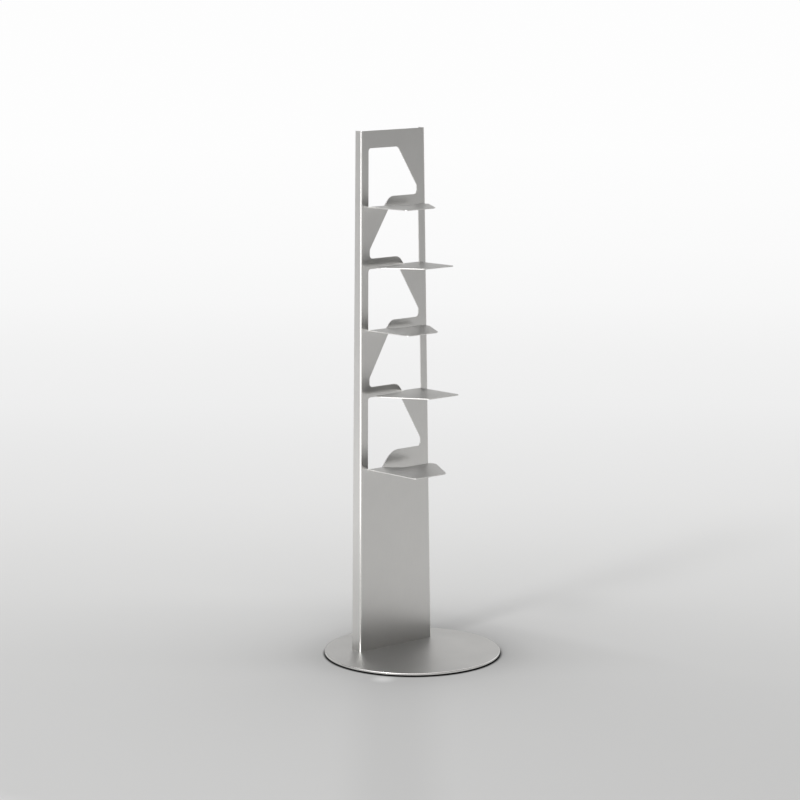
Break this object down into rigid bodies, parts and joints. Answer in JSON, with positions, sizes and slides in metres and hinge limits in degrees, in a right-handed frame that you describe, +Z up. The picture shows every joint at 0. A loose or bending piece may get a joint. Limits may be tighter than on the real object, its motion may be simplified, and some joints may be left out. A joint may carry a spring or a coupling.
{
  "type": "bookcase",
  "caption": "Slim free-standing bookcase of folded sheet metal: a tapered channel column with shelves folded out of its own window cut-outs, on a thin round foot.",
  "frame": {"origin": "centre of the round foot at floor level", "axes": "+Z up, -Y the way the front panel faces, +X to the right seen from the front"},
  "size_m": [0.5999, 0.6, 1.782],
  "materials": {
    "sheet_steel": "satin",
    "foot_steel": "satin",
    "screw_steel": "zinc plated",
    "pad_rubber": "matte"
  },
  "bodies": {
    "root": {"column": "sheet_steel", "foot_plate": "sheet_steel", "base_disc": "foot_steel", "base_screws": "screw_steel", "glide_pads": "pad_rubber"}
  },
  "joints": []
}
